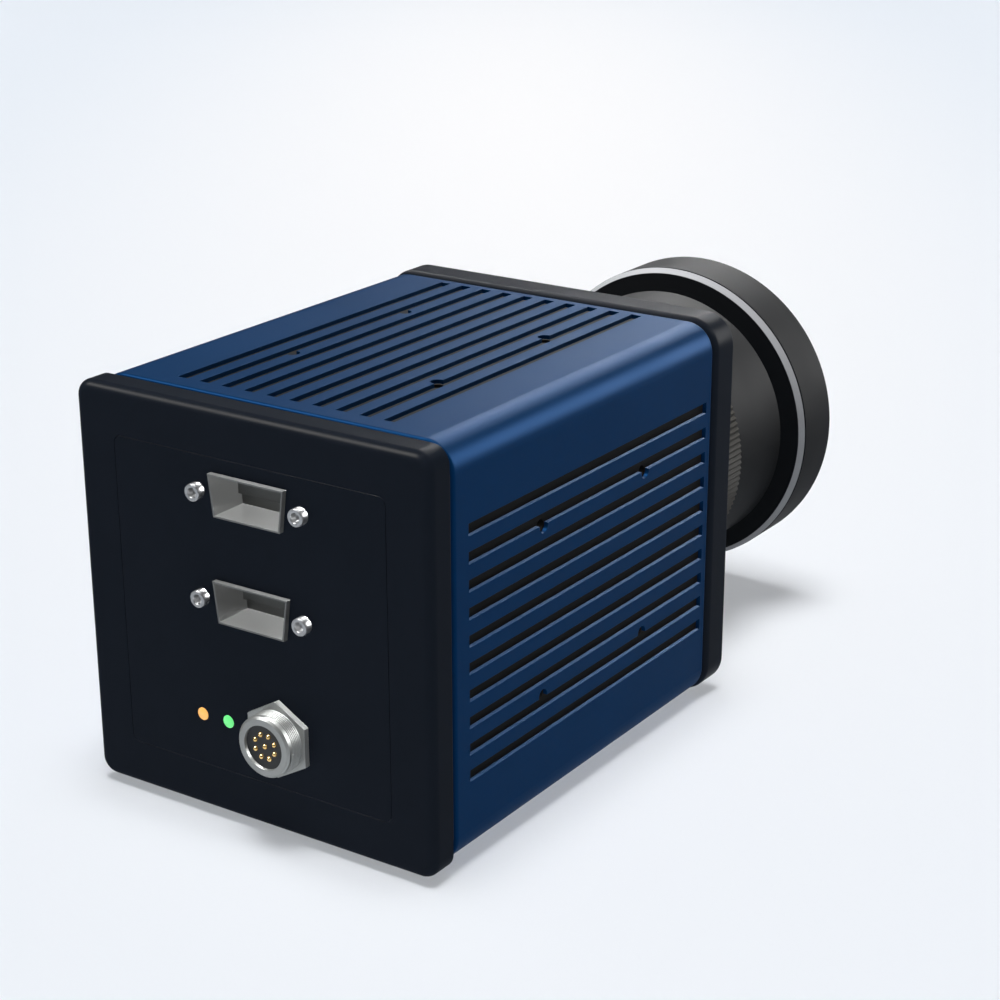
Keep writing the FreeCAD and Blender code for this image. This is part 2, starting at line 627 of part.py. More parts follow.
def base_plate():
    """Foot through a window in the sleeve, with the tripod thread in its middle."""
    cuts = [post(THREAD_D, 0, BASE_TOP_Z, 0, 0)]
    for x, y in base_screw_places():
        cuts.append(post(BASE_SCREW_D + 2 * CLEAR, 0, BASE_TOP_Z, x, y))
        cuts.append(post(BASE_SCREW_HEAD_D + 2 * CLEAR, 0, BASE_SEAT_Z, x, y))
    return base_outline(0).cut(cuts)


def base_screws():
    """Screws from below, through the base plate and the chassis floor into the cooler bracket."""
    screws = []
    for x, y in base_screw_places():
        head = post(BASE_SCREW_HEAD_D, BASE_SCREW_SINK, BASE_SEAT_Z, x, y)
        shank = post(BASE_SCREW_D, BASE_SEAT_Z, BRACKET_TOP_Z, x, y)
        mouth = Vector(x, y, BASE_SCREW_SINK)
        socket = hex_bar(BASE_SCREW_SOCKET, mouth, Vector(0, 0, BASE_SCREW_SOCKET_DEPTH))
        screws.append(head.fuse(shank).cut(socket))
    return screws


def mount_screw_places():
    return circle_places((FLANGE_D + BEARING_D) / 2, MOUNT_SCREW_COUNT)


def key_bar():
    """Upright bar at the guide key, from inside the mount's bore up into the lens tube."""
    return post(KEY_D, AXIS_Z + MOUNT_STOP_D / 2, AXIS_Z + GUIDE_D / 2 + KEY_BITE, 0, KEY_Y)


def lens_mount():
    """Flange sunk in the front bezel, with the bearing of the focus ring and the guide of the lens tube."""
    spigot_d = PORT_D - 2 * FIT
    body = turned([(MOUNT_STOP_D, SLEEVE_FRONT_Y), (spigot_d, SLEEVE_FRONT_Y), (spigot_d, FLANGE_SEAT_Y),
                   (FLANGE_D, FLANGE_SEAT_Y), (FLANGE_D, FLANGE_Y), (BEARING_D, FLANGE_Y),
                   (BEARING_D, BEARING_Y), (GUIDE_D, BEARING_Y), (GUIDE_D, GUIDE_Y), (MOUNT_BORE_D, GUIDE_Y),
                   (MOUNT_BORE_D, REAR_SEAT_Y), (MOUNT_STOP_D, REAR_SEAT_Y)])
    cuts = [key_bar()]
    for x, up in mount_screw_places():
        cuts.append(rod(MOUNT_SCREW_D + 2 * FIT, FLANGE_SEAT_Y, FLANGE_Y, x, up))
        cuts.append(rod(MOUNT_SCREW_HEAD_D + 2 * FIT, FLANGE_Y - MOUNT_SCREW_HEAD, FLANGE_Y, x, up))
    return body.cut(cuts)


def mount_screws():
    neck_y = FLANGE_Y - MOUNT_SCREW_HEAD
    screws = []
    for x, up in mount_screw_places():
        head = rod(MOUNT_SCREW_HEAD_D, neck_y, FLANGE_Y, x, up)
        screws.append(head.fuse(rod(MOUNT_SCREW_D, FLANGE_SEAT_Y - MOUNT_SCREW_BITE, neck_y, x, up)))
    return screws


def guide_key():
    """Pin in the guide that keeps the lens tube from turning, flush with the mount's bore."""
    return key_bar().cut(rod(MOUNT_BORE_D, KEY_Y - KEY_D, KEY_Y + KEY_D))


def knurled_bar(outside, tooth, count, y0, y1):
    """Round bar with straight knurling."""
    points = []
    for i in range(2 * count):
        reach = outside / 2 - tooth * (i % 2)
        turn = math.pi * i / count
        points.append(Vector(reach * math.cos(turn), y0, AXIS_Z + reach * math.sin(turn)))
    return Part.Face(Part.makePolygon(points + points[:1])).extrude(Vector(0, y1 - y0, 0))


def focus_ring():
    """Knurled ring with a lip that turns on the mount's bearing."""
    knurl_y = RING_REAR_Y + RING_PLAIN_REAR
    lip_y = BEARING_Y - CLEAR
    ring = knurled_bar(RING_D, RING_TOOTH, RING_TEETH, knurl_y, RING_FRONT_Y)
    ring = ring.fuse(rod(RING_D - 2 * RING_TOOTH, RING_REAR_Y, knurl_y))
    bores = [rod(RING_BORE_D, lip_y, RING_FRONT_Y), rod(BEARING_D + 2 * RUNNING, RING_REAR_Y, lip_y)]
    return ring.cut(bores)


def focus_retainer():
    """Collar on the guide that keeps the focus ring's lip on its bearing."""
    collar = rod(HELICOID_D - 2 * CLEAR, BEARING_Y, RETAINER_Y)
    return collar.cut(rod(GUIDE_D, BEARING_Y, RETAINER_Y))


def lens_tube():
    """Tube that slides on the guide, with a closed keyway as long as the focus travel."""
    slide_d = GUIDE_D + 2 * RUNNING
    stop_d = TUBE_BORE_D - 2 * OPTIC_SEAT
    tube = turned([(slide_d, TUBE_REAR_Y), (HELICOID_D, TUBE_REAR_Y), (HELICOID_D, TUBE_SHOULDER_Y),
                   (TUBE_D, TUBE_SHOULDER_Y), (TUBE_D, CELL_REAR_Y), (SPIGOT_D, CELL_REAR_Y),
                   (SPIGOT_D, SPIGOT_Y), (TUBE_BORE_D, SPIGOT_Y), (TUBE_BORE_D, MIDDLE_SEAT_Y),
                   (stop_d, MIDDLE_SEAT_Y), (stop_d, TUBE_STOP_Y), (slide_d, TUBE_STOP_Y)])
    half = KEY_D / 2 + CLEAR
    top = AXIS_Z + GUIDE_D / 2 + KEY_BITE + CLEAR
    return tube.cut(block(-half, half, KEY_Y - half - FOCUS_TRAVEL, KEY_Y + half, AXIS_Z, top))


def front_cell():
    """Wide barrel on the lens tube, with a seat for the front element and one for the trim ring."""
    inner_d = FRONT_OPTIC_D - 2 * OPTIC_SEAT
    optic_bore = FRONT_OPTIC_D + 2 * FIT
    groove_d = BARREL_D - 2 * GROOVE_DEPTH
    return turned([(SPIGOT_D, CELL_REAR_Y), (TUBE_D, CELL_REAR_Y), (TRIM_SMALL_D, TRIM_Y),
                   (TRIM_BORE_D, TRIM_Y), (TRIM_BORE_D, GROOVE_Y), (groove_d, GROOVE_Y),
                   (groove_d, BARREL_Y), (BARREL_D, BARREL_Y), (BARREL_D, LENS_FRONT_Y - BARREL_CHAMFER),
                   (BARREL_D - 2 * BARREL_CHAMFER, LENS_FRONT_Y), (optic_bore, LENS_FRONT_Y),
                   (optic_bore, FRONT_SEAT_Y), (inner_d, FRONT_SEAT_Y), (inner_d, SPIGOT_Y),
                   (SPIGOT_D, SPIGOT_Y)])


def trim_ring():
    return turned([(TRIM_BORE_D, TRIM_Y), (TRIM_SMALL_D, TRIM_Y), (TRIM_LARGE_D, GROOVE_Y),
                   (TRIM_BORE_D, GROOVE_Y)])


def retaining_ring(optic, diameter, rim_y):
    """Ring over an optic's rim, with a mouth that follows the optic's bulge and slots for a spanner."""
    reach = diameter / 2
    half = SPANNER_WIDTH / 2
    face_y = rim_y + RETAINING_RING
    slots = block(-reach, reach, face_y - SPANNER_DEPTH, face_y, AXIS_Z - half, AXIS_Z + half)
    return rod(diameter, rim_y, face_y).cut([rod(diameter - 2 * OPTIC_SEAT, rim_y, face_y), slots, optic])


def dewar():
    """Sealed vacuum can of the detector, with its flange and cold-finger neck."""
    return turned([(0, CRANKCASE_FRONT_Y), (NECK_D, CRANKCASE_FRONT_Y), (NECK_D, NECK_Y),
                   (DEWAR_FLANGE_D, NECK_Y), (DEWAR_FLANGE_D, DEWAR_FLANGE_Y), (DEWAR_D, DEWAR_FLANGE_Y),
                   (DEWAR_D, DEWAR_FRONT_Y), (0, DEWAR_FRONT_Y)])


def dewar_window():
    return rod(WINDOW_D, DEWAR_FRONT_Y, DEWAR_FRONT_Y + WINDOW_THICKNESS)


def cooler_crankcase():
    """Sealed body of the rotary cooler, with a foot that stands on its bracket."""
    half = CRANKCASE_WIDTH / 2
    under_z = AXIS_Z - CRANKCASE_HEIGHT / 2
    body = block(-half, half, CRANKCASE_REAR_Y, CRANKCASE_FRONT_Y, under_z, under_z + CRANKCASE_HEIGHT)
    foot_half = half - CRANKCASE_CORNER
    foot = block(-foot_half, foot_half, CRANKCASE_REAR_Y, CRANKCASE_FRONT_Y, BRACKET_TOP_Z, under_z)
    return round_along(body, Vector(0, 1, 0), CRANKCASE_CORNER).fuse(foot)


def cooler_motor():
    middle_y = (CRANKCASE_REAR_Y + CRANKCASE_FRONT_Y) / 2
    start = Vector(CRANKCASE_WIDTH / 2, middle_y, AXIS_Z)
    return Part.makeCylinder(MOTOR_D / 2, MOTOR_LENGTH, start, Vector(1, 0, 0))


def cooler_bracket():
    """Bent sheet on the chassis floor, with two sides that hold the crankcase's foot."""
    wide = POINT_SPACING_ACROSS / 2 + BRACKET_SIDE_MARGIN
    long = POINT_SPACING_ALONG / 2 + BRACKET_END_MARGIN
    inner = CRANKCASE_WIDTH / 2 - CRANKCASE_CORNER
    outer = inner + BRACKET_SHEET
    side_top = BRACKET_TOP_Z + BRACKET_SIDE_HEIGHT
    floor = block(-wide, wide, -long, long, CHASSIS_FLOOR_Z, BRACKET_TOP_Z)
    sides = [block(x, x + BRACKET_SHEET, CRANKCASE_REAR_Y, CRANKCASE_FRONT_Y, BRACKET_TOP_Z, side_top)
             for x in (-outer, inner)]
    holes = [post(BASE_SCREW_D + 2 * FIT, CHASSIS_FLOOR_Z, BRACKET_TOP_Z, x, y)
             for x, y in base_screw_places()]
    return floor.fuse(sides).cut(holes)


def square_board(side, y):
    half = side / 2
    return block(-half, half, y, y + BOARD_THICKNESS, AXIS_Z - half, AXIS_Z + half)


def detector_board():
    board = square_board(DETECTOR_BOARD_SIDE, DEWAR_FLANGE_Y)
    return board.cut(rod(DEWAR_D + 2 * FIT, DEWAR_FLANGE_Y, DEWAR_FLANGE_Y + BOARD_THICKNESS))


def interface_board():
    holes = [rod(PIN_D + 2 * FIT, INTERFACE_Y, INTERFACE_FRONT_Y, x, up) for x, up in pin_places()]
    return square_board(BOARD_SIDE, INTERFACE_Y).cut(holes)


def processor_chip():
    half = CHIP_SIDE / 2
    return block(-half, half, CHIP_Y, CHIP_Y + CHIP_THICKNESS, AXIS_Z - half, AXIS_Z + half)


def board_posts(y0, y1):
    spacing = BOARD_SIDE - 2 * STANDOFF_INSET
    return [rod(STANDOFF_D, y0, y1, x, up) for x, up in four_corners(spacing, spacing)]


def power_board():
    x = POWER_STANDOFF - CHASSIS_BORE / 2
    long = POWER_BOARD_LENGTH / 2
    high = POWER_BOARD_HEIGHT / 2
    return block(x, x + BOARD_THICKNESS, -long, long, AXIS_Z - high, AXIS_Z + high)


def power_standoffs():
    places = four_corners(POWER_BOARD_LENGTH - 2 * STANDOFF_INSET, POWER_BOARD_HEIGHT - 2 * STANDOFF_INSET)
    return [Part.makeCylinder(STANDOFF_D / 2, POWER_STANDOFF, Vector(-CHASSIS_BORE / 2, y, AXIS_Z + up),
                              Vector(1, 0, 0)) for y, up in places]


FRONT_ELEMENT = domed(FRONT_OPTIC_D, FRONT_SEAT_Y, FRONT_RIM_Y, FRONT_RIM_Y + FRONT_OPTIC_SAG)
MIDDLE_ELEMENT = domed(MIDDLE_OPTIC_D, MIDDLE_SEAT_Y, MIDDLE_RIM_Y, MIDDLE_RIM_Y + MIDDLE_OPTIC_SAG)
REAR_ELEMENT = domed(REAR_OPTIC_D, REAR_SEAT_Y, REAR_RIM_Y, REAR_RIM_Y + REAR_OPTIC_SAG)

NODES = {
    "sleeve": sleeve(),
    "chassis": chassis(),
    "tie_rods": tie_rods(),
    "front_bezel": front_bezel(),
    "front_screws": front_screws(),
    "rear_bezel": rear_bezel(),
    "rear_gasket": rear_gasket(),
    "rear_panel": rear_panel(),
    "video_shell_upper": video_shell(VIDEO_UPPER_Z),
    "video_shell_lower": video_shell(VIDEO_LOWER_Z),
    "video_insert_upper": video_insert(VIDEO_UPPER_Z),
    "video_insert_lower": video_insert(VIDEO_LOWER_Z),
    "jack_posts": jack_posts(),
    "led_amber": lamp(AMBER_X),
    "led_green": lamp(GREEN_X),
    "power_socket_shell": power_socket_shell(),
    "power_socket_insert": power_socket_insert(),
    "power_pins": power_pins(),
    "power_socket_nut": power_socket_nut(),
    "base_plate": base_plate(),
    "base_screws": base_screws(),
    "lens_mount": lens_mount(),
    "mount_screws": mount_screws(),
    "guide_key": guide_key(),
    "focus_ring": focus_ring(),
    "focus_retainer": focus_retainer(),
    "lens_tube": lens_tube(),
    "front_cell": front_cell(),
    "trim_ring": trim_ring(),
    "front_element": FRONT_ELEMENT,
    "front_retaining_ring": retaining_ring(FRONT_ELEMENT, FRONT_OPTIC_D, FRONT_RIM_Y),
    "middle_element": MIDDLE_ELEMENT,
    "middle_retaining_ring": retaining_ring(MIDDLE_ELEMENT, MIDDLE_OPTIC_D, MIDDLE_RIM_Y),
    "rear_element": REAR_ELEMENT,
    "rear_retaining_ring": retaining_ring(REAR_ELEMENT, REAR_OPTIC_D, REAR_RIM_Y),
    "dewar": dewar(),
    "dewar_window": dewar_window(),
    "cooler_crankcase": cooler_crankcase(),
    "cooler_motor": cooler_motor(),
    "cooler_bracket": cooler_bracket(),
    "detector_board": detector_board(),
    "interface_board": interface_board(),
    "processor_board": square_board(BOARD_SIDE, PROCESSOR_Y),
    "processor_chip": processor_chip(),
    "panel_standoffs": board_posts(PANEL_INNER_Y, INTERFACE_Y),
    "board_standoffs": board_posts(INTERFACE_FRONT_Y, PROCESSOR_Y),
    "power_board": power_board(),
    "power_standoffs": power_standoffs(),
}

os.makedirs("parts", exist_ok=True)
for name, made in NODES.items():
    shape = Part.makeCompound(made) if isinstance(made, list) else made
    shape.exportStep(f"parts/{name}.step")
    print(name, len(shape.Solids), "solid(s)", round(shape.Volume), "mm3", shape.isValid())
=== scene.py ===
# %% [markdown]
# A gas leak imaging camera stands on a pale table and is seen from behind: a blue anodised sleeve, two
# black end frames, connectors on the rear panel and an infrared lens on the far side. The solids come
# from CAD with the right sizes already, so this script gives them finishes, light and a camera, and adds
# the small details that CAD left plain.

# %% Load the solids
import json
import math
import bpy
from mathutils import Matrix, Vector


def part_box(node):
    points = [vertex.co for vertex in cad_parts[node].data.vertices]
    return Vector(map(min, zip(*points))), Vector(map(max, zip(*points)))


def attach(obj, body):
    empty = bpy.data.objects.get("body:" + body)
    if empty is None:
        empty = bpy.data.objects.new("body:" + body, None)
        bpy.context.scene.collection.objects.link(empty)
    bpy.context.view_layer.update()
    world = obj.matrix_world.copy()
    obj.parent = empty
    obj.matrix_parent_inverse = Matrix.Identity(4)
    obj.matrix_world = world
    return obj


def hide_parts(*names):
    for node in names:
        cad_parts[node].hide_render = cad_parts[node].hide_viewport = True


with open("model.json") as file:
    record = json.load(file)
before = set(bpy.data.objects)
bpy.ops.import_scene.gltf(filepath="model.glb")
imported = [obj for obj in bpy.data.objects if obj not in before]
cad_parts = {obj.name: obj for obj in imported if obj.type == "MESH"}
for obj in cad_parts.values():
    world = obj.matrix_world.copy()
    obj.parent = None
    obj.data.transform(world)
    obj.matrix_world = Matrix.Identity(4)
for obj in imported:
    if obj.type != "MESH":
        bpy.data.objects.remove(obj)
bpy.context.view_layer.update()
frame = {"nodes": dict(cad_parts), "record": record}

nodes = frame["nodes"]
print("CAD nodes:", len(nodes))

# %% [markdown]
# The photograph was taken with a long lens from behind, from the right and from a little above. A long
# lens keeps the box edges nearly parallel. Its optical axis doesn't run through the middle of the
# picture, so the camera is shifted a little rather than turned, which leaves the perspective as it is.

# %% Set up the camera
camera_place = (0.29265, -0.40110, 0.23877)
camera_turn = math.radians(33.742)
look_down = 20.917
camera_tilt = math.radians(90 - look_down)
sensor_width = 36.0
focal_length = 80.363
shift_right = -0.00967
shift_up = 0.041

bpy.ops.object.camera_add(location=camera_place, rotation=(camera_tilt, 0, camera_turn))
camera = bpy.context.object
camera.data.sensor_width = sensor_width
camera.data.lens = focal_length
camera.data.shift_x = shift_right
camera.data.shift_y = shift_up
bpy.context.scene.camera = camera
print("camera at", tuple(camera.location))

# %% [markdown]
# The ground is a wide pale table that fills the whole picture. It lies a hair below the base plate, because
# two faces in the same plane would show as specks. A plane is enough for it, and it is so wide that its edge
# shows only from very low down.

# %% Lay the table
table_size = 60.0
table_drop = 0.0002

bpy.ops.object.select_all(action="DESELECT")
bpy.ops.mesh.primitive_plane_add(size=table_size, location=(0, 0, -table_drop))
table = bpy.context.object
table.name = "table"
print("table", tuple(table.dimensions))

# %% [markdown]
# A lit paper sweep is nearly white where the light falls and turns a little blue around that. Here that
# fall of light is painted into the paper's colour, with the painted light beyond the camera and painted
# shade around it. The colour follows the table's own coordinates, squeezed and turned to face the viewer, so
# it stays in place when the view changes.

# %% Colour the table
fade_middle = (-0.405, 0.660, 0.0)
fade_reach = (0.363, 1.519, 1.0)
# Painted light and painted shade: the paper is nearly white where light falls and a darker blue away from
# it.
painted_light_paper = (0.915, 0.915, 0.931, 1)
painted_shade_paper = (0.767, 0.814, 0.879, 1)

paper = bpy.data.materials.new("paper")
paper.use_nodes = True
tree = paper.node_tree
shader = tree.nodes["Principled BSDF"]
shader.inputs["Roughness"].default_value = 0.9
shader.inputs["Specular IOR Level"].default_value = 0.0
where = tree.nodes.new("ShaderNodeTexCoord")
squeeze = tree.nodes.new("ShaderNodeMapping")
squeeze.vector_type = "TEXTURE"
squeeze.inputs["Location"].default_value = fade_middle
squeeze.inputs["Rotation"].default_value = (0.0, 0.0, camera_turn)
squeeze.inputs["Scale"].default_value = fade_reach
far = tree.nodes.new("ShaderNodeVectorMath")
far.operation = "LENGTH"
fade = tree.nodes.new("ShaderNodeValToRGB")
fade.color_ramp.interpolation = "EASE"
fade.color_ramp.elements[0].color = painted_light_paper
fade.color_ramp.elements[1].color = painted_shade_paper
tree.links.new(where.outputs["Object"], squeeze.inputs["Vector"])
tree.links.new(squeeze.outputs["Vector"], far.inputs[0])
tree.links.new(far.outputs["Value"], fade.inputs["Fac"])
tree.links.new(fade.outputs["Color"], shader.inputs["Base Color"])
table.data.materials.append(paper)
print("table material:", paper.name)

# %% [markdown]
# The light is that of a bright studio. The world and a wide lamp without a shadow light everything evenly,
# as white walls do, and a soft lamp overhead makes the shadow. Both are sun lamps, because a sun lights the
# whole table evenly, and its spread sets how soft it is. A lamp without a shadow must not be found by
# bounced rays, which the housing would block, so such a lamp is left out of that sampling.

# %% Light the table
world_colour = (0.97, 0.985, 1.0, 1)
world_strength = 0.06

world = bpy.data.worlds.new("studio")
bpy.context.scene.world = world
world.use_nodes = True
walls = world.node_tree.nodes["Background"]
walls.inputs["Color"].default_value = world_colour
walls.inputs["Strength"].default_value = world_strength


def add_soft_lamp(name, come_from, strength, spread, shadow=False, matt=False):
    """A sun lamp from a direction, its spread in degrees, and whether it casts shadows and lights matt."""
    bpy.ops.object.light_add(type="SUN")
    lamp = bpy.context.object
    lamp.name = name
    lamp.data.energy = strength
    lamp.data.angle = math.radians(spread)
    lamp.data.use_shadow = shadow
    lamp.visible_diffuse = matt
    lamp.data.cycles.use_multiple_importance_sampling = shadow
    lamp.rotation_euler = Vector(come_from).to_track_quat("Z", "Y").to_euler()
    return lamp


add_soft_lamp("overhead", (0.03, -0.03, 1.0), strength=1.90, spread=24, shadow=True, matt=True)
add_soft_lamp("fill", (-0.20, -0.20, 1.0), strength=1.32, spread=40, matt=True)
print("world strength", world_strength, "and two soft lamps")

# %% [markdown]
# Strip lights draw the bright lines along rounded edges. The lamps here stand in for them: they light
# nothing matt, so they show only as reflections. Two stand beyond the lens for the sleeve's corners, and one
# is behind the viewer's left shoulder. Light linking gives the black rear frame a strip of its own, and the
# lens end another two, and keeps those three off all other solids.

# %% Hang the strip lights
rear_frame = ("rear_bezel", "rear_panel")
front_end = ("front_bezel", "focus_ring", "lens_tube", "front_cell", "trim_ring", "front_retaining_ring")


def light_only(lamp, names):
    """Let a lamp fall on the named solids alone."""
    chosen = bpy.data.collections.new(lamp.name + "_lights")
    for name in names:
        chosen.objects.link(nodes[name])
    lamp.light_linking.receiver_collection = chosen


add_soft_lamp("far_left_strip", (-0.256, 0.836, 0.485), strength=3.7, spread=32)
add_soft_lamp("far_right_strip", (0.487, 0.844, 0.225), strength=4.2, spread=27)
add_soft_lamp("shoulder_strip", (-0.53, -0.20, 0.82), strength=5.5, spread=30)
rear_strip = add_soft_lamp("rear_strip", (-0.52, -0.50, 0.69), strength=26.0, spread=30)
light_only(rear_strip, rear_frame)
front_left_strip = add_soft_lamp("front_left_strip", (-0.64, 0.42, 0.64), strength=5.0, spread=25)
light_only(front_left_strip, front_end)
front_right_strip = add_soft_lamp("front_right_strip", (0.65, 0.30, 0.70), strength=5.0, spread=25)
light_only(front_right_strip, front_end)

# %% [markdown]
# Real finishes are never one flat colour. Shared node groups give the finishes of the camera their detail,
# so an effect is built once and then placed in each material. They give out numbers and a normal only, so
# each material stays in charge of its own colour.

# %% Write the recipe for a texture group
NUMBER = "NodeSocketFloat"
VECTOR = "NodeSocketVector"


def new_group(name, inputs, outputs):
    """An empty shader node group with inputs and outputs given as (name, kind, value) and (name, kind)."""
    group = bpy.data.node_groups.new(name, "ShaderNodeTree")
    for label, kind, value in inputs:
        socket = group.interface.new_socket(label, in_out="INPUT", socket_type=kind)
        socket.default_value = value
    for label, kind in outputs:
        group.interface.new_socket(label, in_out="OUTPUT", socket_type=kind)
    return group, group.nodes.new("NodeGroupInput"), group.nodes.new("NodeGroupOutput")


def add_noise(group, source, scale_from, detail):
    """A noise texture in a group, on the given vector, with its scale from a group input."""
    noise = group.nodes.new("ShaderNodeTexNoise")
    noise.inputs["Detail"].default_value = detail
    group.links.new(source, noise.inputs["Vector"])
    group.links.new(scale_from, noise.inputs["Scale"])
    return noise.outputs["Fac"]


# %% [markdown]
# Bead blasting and moulding leave a fine grain. One noise at the size of the grain gives the height for the
# bump, and a second one, far larger, gives soft patches in which colour and roughness drift a little.

# %% Make the fine grain
grain, entry, leave = new_group(
    "fine_grain",
    [("Grain Scale", NUMBER, 2600.0), ("Patch Scale", NUMBER, 40.0)],
    [("Height", NUMBER), ("Patches", NUMBER)])
where = grain.nodes.new("ShaderNodeTexCoord")
speckle = add_noise(grain, where.outputs["Object"], entry.outputs["Grain Scale"], detail=2.0)
cloud = add_noise(grain, where.outputs["Object"], entry.outputs["Patch Scale"], detail=3.0)
grain.links.new(speckle, leave.inputs["Height"])
grain.links.new(cloud, leave.inputs["Patches"])
print("group:", grain.name)

# %% [markdown]
# A lathe tool leaves fine rings round the axis that a piece was turned on. So this noise is given only the
# distance from the lens axis and the place along it: it comes out the same all the way round, as rings.

# %% Make the turning marks
lens_axis = (0.0, 0.0, 0.0495)

rings, entry, leave = new_group(
    "turning_marks",
    [("Axis", VECTOR, lens_axis), ("Ring Scale", NUMBER, 2200.0), ("Patch Scale", NUMBER, 60.0)],
    [("Height", NUMBER), ("Patches", NUMBER)])
where = rings.nodes.new("ShaderNodeTexCoord")
offset = rings.nodes.new("ShaderNodeVectorMath")
offset.operation = "SUBTRACT"
flat = rings.nodes.new("ShaderNodeVectorMath")
flat.operation = "MULTIPLY"
flat.inputs[1].default_value = (1.0, 0.0, 1.0)
radius = rings.nodes.new("ShaderNodeVectorMath")
radius.operation = "LENGTH"
split = rings.nodes.new("ShaderNodeSeparateXYZ")
join = rings.nodes.new("ShaderNodeCombineXYZ")
rings.links.new(where.outputs["Object"], offset.inputs[0])
rings.links.new(entry.outputs["Axis"], offset.inputs[1])
rings.links.new(offset.outputs["Vector"], flat.inputs[0])
rings.links.new(flat.outputs["Vector"], radius.inputs[0])
rings.links.new(offset.outputs["Vector"], split.inputs["Vector"])
rings.links.new(radius.outputs["Value"], join.inputs["X"])
rings.links.new(split.outputs["Y"], join.inputs["Y"])
marks = add_noise(rings, join.outputs["Vector"], entry.outputs["Ring Scale"], detail=2.0)
cloud = add_noise(rings, where.outputs["Object"], entry.outputs["Patch Scale"], detail=3.0)
rings.links.new(marks, leave.inputs["Height"])
rings.links.new(cloud, leave.inputs["Patches"])
print("group:", rings.name)

# %% [markdown]
# No real edge is perfectly sharp, and the small round along it catches the light. The Bevel node bends the
# shading near an edge in that way and leaves the mesh as it is.

# %% Make the edge rounding
rounding, entry, leave = new_group("edge_rounding", [("Radius", NUMBER, 0.0002)], [("Normal", VECTOR)])
bevel = rounding.nodes.new("ShaderNodeBevel")
bevel.samples = 6
rounding.links.new(entry.outputs["Radius"], bevel.inputs["Radius"])
rounding.links.new(bevel.outputs["Normal"], leave.inputs["Normal"])
print("group:", rounding.name)

# %% [markdown]
# All finishes are built the same way. A texture group shifts the colour between two close tones and the
# roughness between two close values, and its height gives the bump. A noise stays mostly between 0.3 and
# 0.7, so that range is spread over both. The shader's own sockets hold what doesn't vary, such as how
# metallic the finish is.

# %% Write the recipe for a finish
patch_low = 0.3
patch_high = 0.7
finishes = {}


def new_finish(name, texture, tones, rough, bump, edge, **fixed):
    """Keep a Principled material from a texture group, two tones, a roughness range and a bump depth."""
    material = bpy.data.materials.new(name)
    material.use_nodes = True
    tree = material.node_tree
    shader = tree.nodes["Principled BSDF"]
    pattern = tree.nodes.new("ShaderNodeGroup")
    pattern.node_tree = texture
    tint = tree.nodes.new("ShaderNodeValToRGB")
    for stop, place, tone in zip(tint.color_ramp.elements, (patch_low, patch_high), tones):
        stop.color = (*tone, 1)
        stop.position = place
    gloss = tree.nodes.new("ShaderNodeMapRange")
    gloss.inputs["From Min"].default_value = patch_low
    gloss.inputs["From Max"].default_value = patch_high
    gloss.inputs["To Min"].default_value = rough[0]
    gloss.inputs["To Max"].default_value = rough[1]
    relief = tree.nodes.new("ShaderNodeBump")
    relief.inputs["Distance"].default_value = bump
    corner = tree.nodes.new("ShaderNodeGroup")
    corner.node_tree = rounding
    corner.inputs["Radius"].default_value = edge
    tree.links.new(pattern.outputs["Patches"], tint.inputs["Fac"])
    tree.links.new(tint.outputs["Color"], shader.inputs["Base Color"])
    tree.links.new(pattern.outputs["Patches"], gloss.inputs["Value"])
    tree.links.new(gloss.outputs["Result"], shader.inputs["Roughness"])
    tree.links.new(pattern.outputs["Height"], relief.inputs["Height"])
    tree.links.new(corner.outputs["Normal"], relief.inputs["Normal"])
    tree.links.new(relief.outputs["Normal"], shader.inputs["Normal"])
    for label, value in fixed.items():
        shader.inputs[label.replace("_", " ")].default_value = value
    finishes[name] = material
    print("finish:", name)
    return material


# %% [markdown]
# Anodising dyes a clear oxide skin on aluminium. Under the blue dye the blasted metal still glints a
# little, so the sleeve is partly metallic. The frames are dyed black and keep only a faint sheen, and the
# chassis that shows through the slots is darker still.

# %% Mix the anodised finishes
new_finish(
    "blue_anodised", grain, tones=[(0.0024, 0.0285, 0.092), (0.0028, 0.0315, 0.100)], rough=(0.37, 0.42),
    bump=0.000004, edge=0.00012, Metallic=0.15, Specular_IOR_Level=0.006,
    Specular_Tint=(0.85, 0.93, 1.0, 1.0))
new_finish(
    "black_anodised", grain, tones=[(0.0118, 0.0155, 0.0226), (0.0130, 0.0168, 0.0244)], rough=(0.31, 0.37),
    bump=0.000004, edge=0.0001, Specular_IOR_Level=0.009, Specular_Tint=(1.0, 0.94, 0.86, 1.0))
new_finish(
    "dark_aluminium", grain, tones=[(0.0105, 0.0105, 0.0105), (0.0125, 0.0125, 0.0125)], rough=(0.45, 0.55),
    bump=0.000006, edge=0.0002, Specular_IOR_Level=0.015, Specular_Tint=(1.0, 0.92, 0.84, 1.0))

# %% [markdown]
# The lens parts are turned on a lathe and then anodised dark grey, so a fine ring pattern runs round the
# lens axis. The gripping ring is warmer in colour. The trim ring is pale aluminium with a dull face.

# %% Mix the lens finishes
new_finish(
    "lens_grey", rings, tones=[(0.0060, 0.0070, 0.0085), (0.0070, 0.0082, 0.0098)], rough=(0.53, 0.60),
    bump=0.000003, edge=0.0001, Specular_IOR_Level=0.031)
new_finish(
    "knurled_grey", rings, tones=[(0.060, 0.056, 0.050), (0.072, 0.068, 0.060)], rough=(0.45, 0.52),
    bump=0.000004, edge=0.0001, Specular_IOR_Level=0.015)
new_finish(
    "bright_ring", rings, tones=[(0.27, 0.275, 0.285), (0.30, 0.305, 0.315)], rough=(0.72, 0.78),
    bump=0.000002, edge=0.00005, Metallic=0.5, Specular_IOR_Level=0.05)

# %% [markdown]
# A pure metal only mirrors the room, in its own colour. Bare aluminium, bearing bronze and the gold of the
# pins are made so. Steel and nickel plating have a duller skin, and a mirror of this dim room would leave
# them too dark, so they are partly metallic and the soft lamps light the rest.

